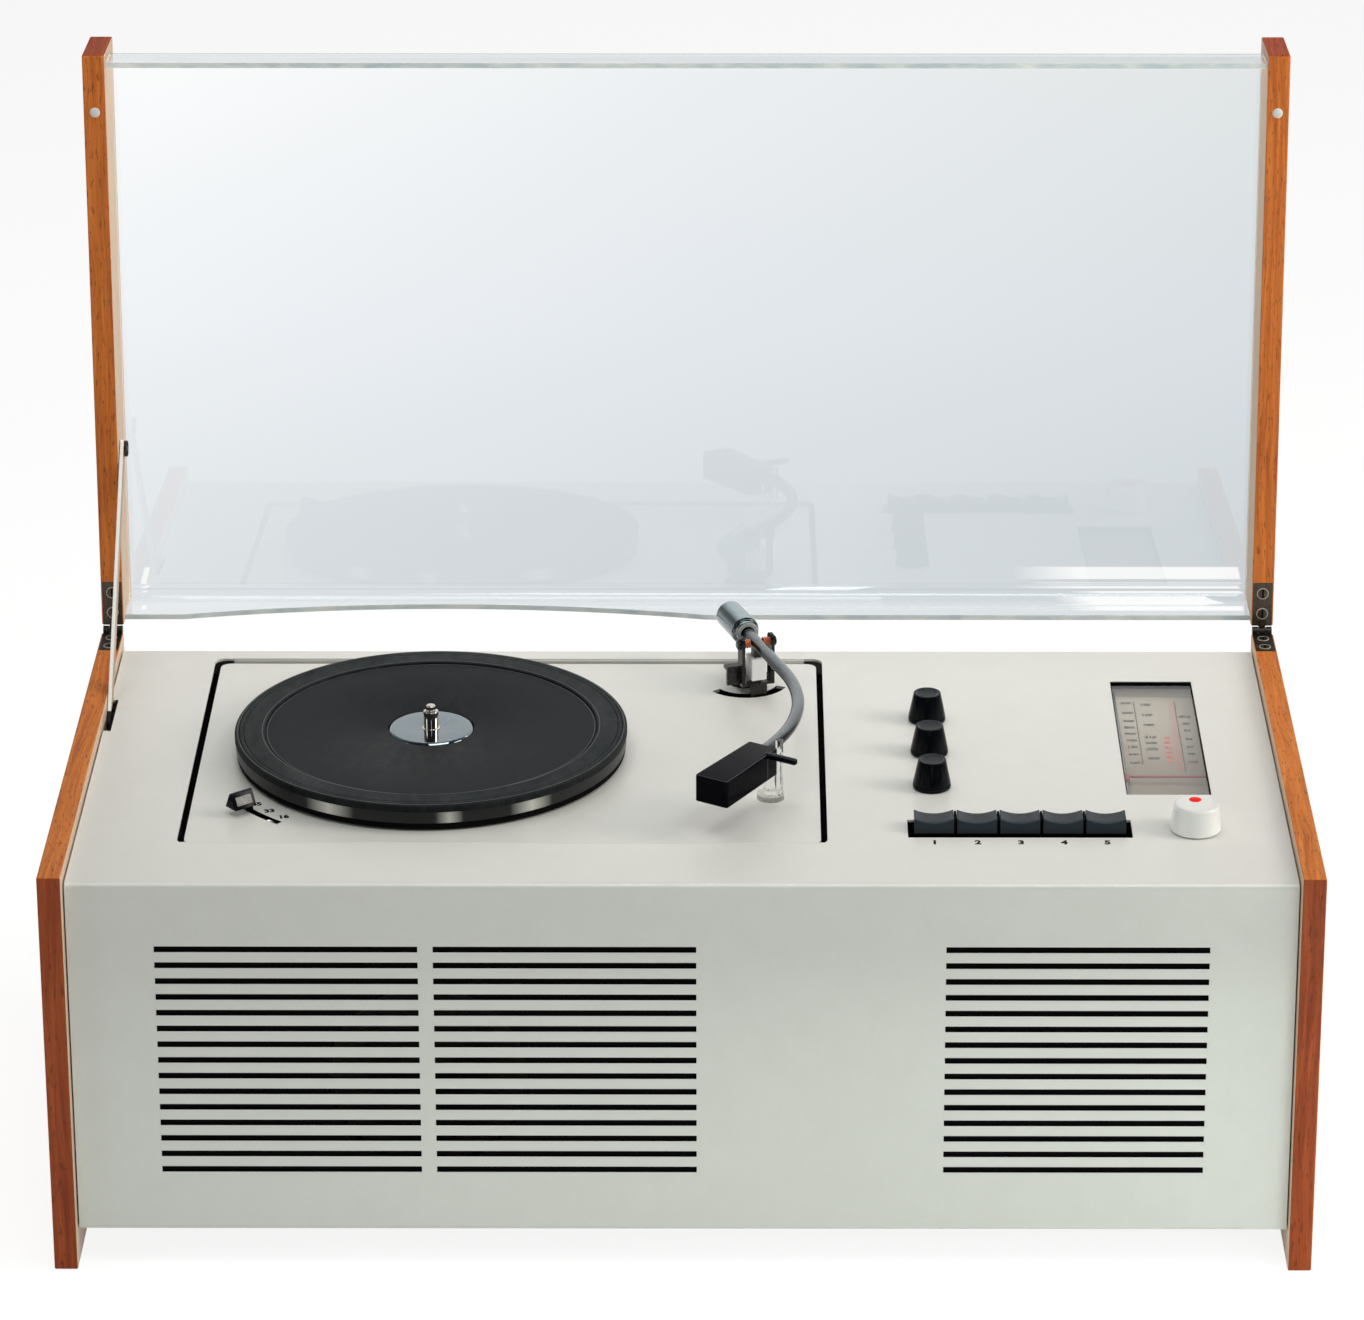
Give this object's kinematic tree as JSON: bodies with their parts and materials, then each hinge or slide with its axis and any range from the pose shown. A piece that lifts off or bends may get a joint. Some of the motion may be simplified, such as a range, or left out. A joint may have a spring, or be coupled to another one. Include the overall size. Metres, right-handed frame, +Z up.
{
  "type": "radiogram",
  "caption": "Table radiogram: wooden end boards, slotted folded-steel casing, record deck, push keys, tuning dial and a hinged clear lid held by a stay.",
  "frame": {"origin": "on the table, under the middle of the box that the part fills with its lid open", "axes": "+X to the right along the front, +Y to the back, +Z up"},
  "size_m": [0.584, 0.3488, 0.494],
  "materials": {
    "lacquered_wood": "satin lacquer over straight-grained wood",
    "casing_lacquer": "satin stove lacquer, warm light grey",
    "deck_lacquer": "satin stove lacquer, a shade lighter than the casing",
    "hardboard": "bare hardboard",
    "baffle_board": "black stained board",
    "dark_steel": "dark passivated steel",
    "speaker_paper": "black paper",
    "bright_steel": "brushed",
    "chrome": "polished plating",
    "black_rubber": "matte black",
    "white_rubber": "matte white",
    "clear_acrylic": "clear, polished",
    "dial_paint": "grey-beige scale",
    "dial_glass": "clear",
    "valve_glass": "clear with dark base",
    "core_iron": "varnished laminations",
    "hinge_metal": "nickel plate gone brown",
    "brass": "turned",
    "black_plastic": "satin black moulding",
    "white_plastic": "ivory white moulding",
    "yoke_steel": "dark nickel",
    "copper": "copper",
    "red_paint": "red lacquer"
  },
  "bodies": {
    "cabinet": {"left_side_board": "lacquered_wood", "right_side_board": "lacquered_wood", "casing": "casing_lacquer", "deck_plate": "deck_lacquer", "base_plate": "hardboard", "speaker_baffle": "baffle_board", "speaker_frame": "dark_steel", "speaker_cone": "speaker_paper", "deck_rails": "dark_steel", "deck_mounts": "black_rubber", "turntable_motor": "dark_steel", "spindle_bearing": "bright_steel", "idler_arm": "dark_steel", "arm_post": "bright_steel", "arm_rest": "clear_acrylic", "key_frame": "dark_steel", "control_bushes": "dark_steel", "dial_plate": "dial_paint", "dial_glass": "dial_glass", "pointer_rail": "bright_steel", "radio_chassis": "dark_steel", "valves": "valve_glass", "mains_transformer": "core_iron", "tuning_capacitor": "bright_steel", "base_hinge_leaves": "hinge_metal", "mains_gland": "black_plastic"},
    "lid": {"lid_sheet": "clear_acrylic", "left_lid_board": "lacquered_wood", "right_lid_board": "lacquered_wood", "lid_hinge_leaves": "hinge_metal", "lid_buffers": "white_rubber", "stay_pivot": "hinge_metal"},
    "stay": {"stay_bar": "casing_lacquer"},
    "platter": {"platter": "bright_steel", "platter_mat": "black_rubber", "centre_disc": "bright_steel", "spindle": "chrome"},
    "idler": {"idler_wheel": "black_rubber"},
    "pulley": {"motor_pulley": "brass"},
    "speed_lever": {"speed_lever_arm": "dark_steel", "speed_lever_cap": "black_plastic"},
    "arm_yoke": {"arm_yoke": "yoke_steel", "arm_pivots": "copper"},
    "tonearm": {"arm_tube": "bright_steel", "arm_block": "white_plastic", "counterweight": "chrome", "headshell": "black_plastic", "cartridge": "black_plastic", "finger_lift": "black_plastic"},
    "key_1": {"key_1": "black_plastic"},
    "key_2": {"key_2": "black_plastic"},
    "key_3": {"key_3": "black_plastic"},
    "key_4": {"key_4": "black_plastic"},
    "key_5": {"key_5": "black_plastic"},
    "bass_knob": {"bass_knob": "black_plastic"},
    "treble_knob": {"treble_knob": "black_plastic"},
    "volume_knob": {"volume_knob": "black_plastic"},
    "tuning_knob": {"tuning_knob": "white_plastic"},
    "dial_pointer": {"dial_pointer": "red_paint"}
  },
  "joints": [
    {"name": "lid_hinge", "type": "hinge", "parent": "cabinet", "child": "lid", "pos_m": [0, 0.11958, 0.2005], "axis": [-1, 0, 0], "range_deg": [-93, 0]},
    {"name": "stay_pivot_turn", "type": "hinge", "parent": "lid", "child": "stay", "pos_m": [-0.27975, 0.13437, 0.29165], "axis": [1, 0, 0], "range_deg": [-48.18, 0]},
    {"name": "platter_spin", "type": "hinge", "parent": "cabinet", "child": "platter", "pos_m": [-0.121, -0.01427, 0.1929], "axis": [0, 0, 1], "continuous": true},
    {"name": "idler_spin", "type": "hinge", "parent": "cabinet", "child": "idler", "pos_m": [-0.0445, -0.01427, 0.1929], "axis": [0, 0, 1], "continuous": true},
    {"name": "pulley_spin", "type": "hinge", "parent": "cabinet", "child": "pulley", "pos_m": [-0.0648, -0.01427, 0.1929], "axis": [0, 0, 1], "continuous": true},
    {"name": "speed_lever_turn", "type": "hinge", "parent": "cabinet", "child": "speed_lever", "pos_m": [-0.121, -0.01427, 0.1929], "axis": [0, 0, 1], "range_deg": [-7.4, 9.6]},
    {"name": "arm_swing", "type": "hinge", "parent": "cabinet", "child": "arm_yoke", "pos_m": [0.0292, 0.07253, 0.1929], "axis": [0, 0, 1], "range_deg": [-40, 0]},
    {"name": "arm_lift", "type": "hinge", "parent": "arm_yoke", "child": "tonearm", "pos_m": [0.03428, 0.05842, 0.2194], "axis": [-0.9409, -0.3387, 0], "range_deg": [0, 25]},
    {"name": "key_1_press", "type": "slide", "parent": "cabinet", "child": "key_1", "axis": [0, 0, -1], "range_m": [0, 0.004], "stiffness_N_per_m": 500},
    {"name": "key_2_press", "type": "slide", "parent": "cabinet", "child": "key_2", "axis": [0, 0, -1], "range_m": [0, 0.004], "stiffness_N_per_m": 500},
    {"name": "key_3_press", "type": "slide", "parent": "cabinet", "child": "key_3", "axis": [0, 0, -1], "range_m": [0, 0.004], "stiffness_N_per_m": 500},
    {"name": "key_4_press", "type": "slide", "parent": "cabinet", "child": "key_4", "axis": [0, 0, -1], "range_m": [0, 0.004], "stiffness_N_per_m": 500},
    {"name": "key_5_press", "type": "slide", "parent": "cabinet", "child": "key_5", "axis": [0, 0, -1], "range_m": [0, 0.004], "stiffness_N_per_m": 500},
    {"name": "treble_knob_turn", "type": "hinge", "parent": "cabinet", "child": "treble_knob", "pos_m": [0.1167, 0.02133, 0.1944], "axis": [0, 0, 1], "range_deg": [-270, 0]},
    {"name": "bass_knob_turn", "type": "hinge", "parent": "cabinet", "child": "bass_knob", "pos_m": [0.1167, -0.01867, 0.1944], "axis": [0, 0, 1], "range_deg": [-270, 0]},
    {"name": "volume_knob_turn", "type": "hinge", "parent": "cabinet", "child": "volume_knob", "pos_m": [0.1167, -0.05867, 0.1944], "axis": [0, 0, 1], "range_deg": [-270, 0]},
    {"name": "tuning_turn", "type": "hinge", "parent": "cabinet", "child": "tuning_knob", "pos_m": [0.2374, -0.10697, 0.1944], "axis": [0, 0, 1], "range_deg": [-480, 0]},
    {"name": "pointer_slide", "type": "slide", "parent": "cabinet", "child": "dial_pointer", "axis": [0, 1, 0], "range_m": [0, 0.084]}
  ],
  "couplings": [
    {"joint": "stay_pivot_turn", "follows": "lid_hinge", "ratio": 0.51695},
    {"joint": "idler_spin", "follows": "platter_spin", "ratio": 6.4857},
    {"joint": "pulley_spin", "follows": "platter_spin", "ratio": -15.133},
    {"joint": "pointer_slide", "follows": "tuning_turn", "m_per_rad": -0.01}
  ]
}
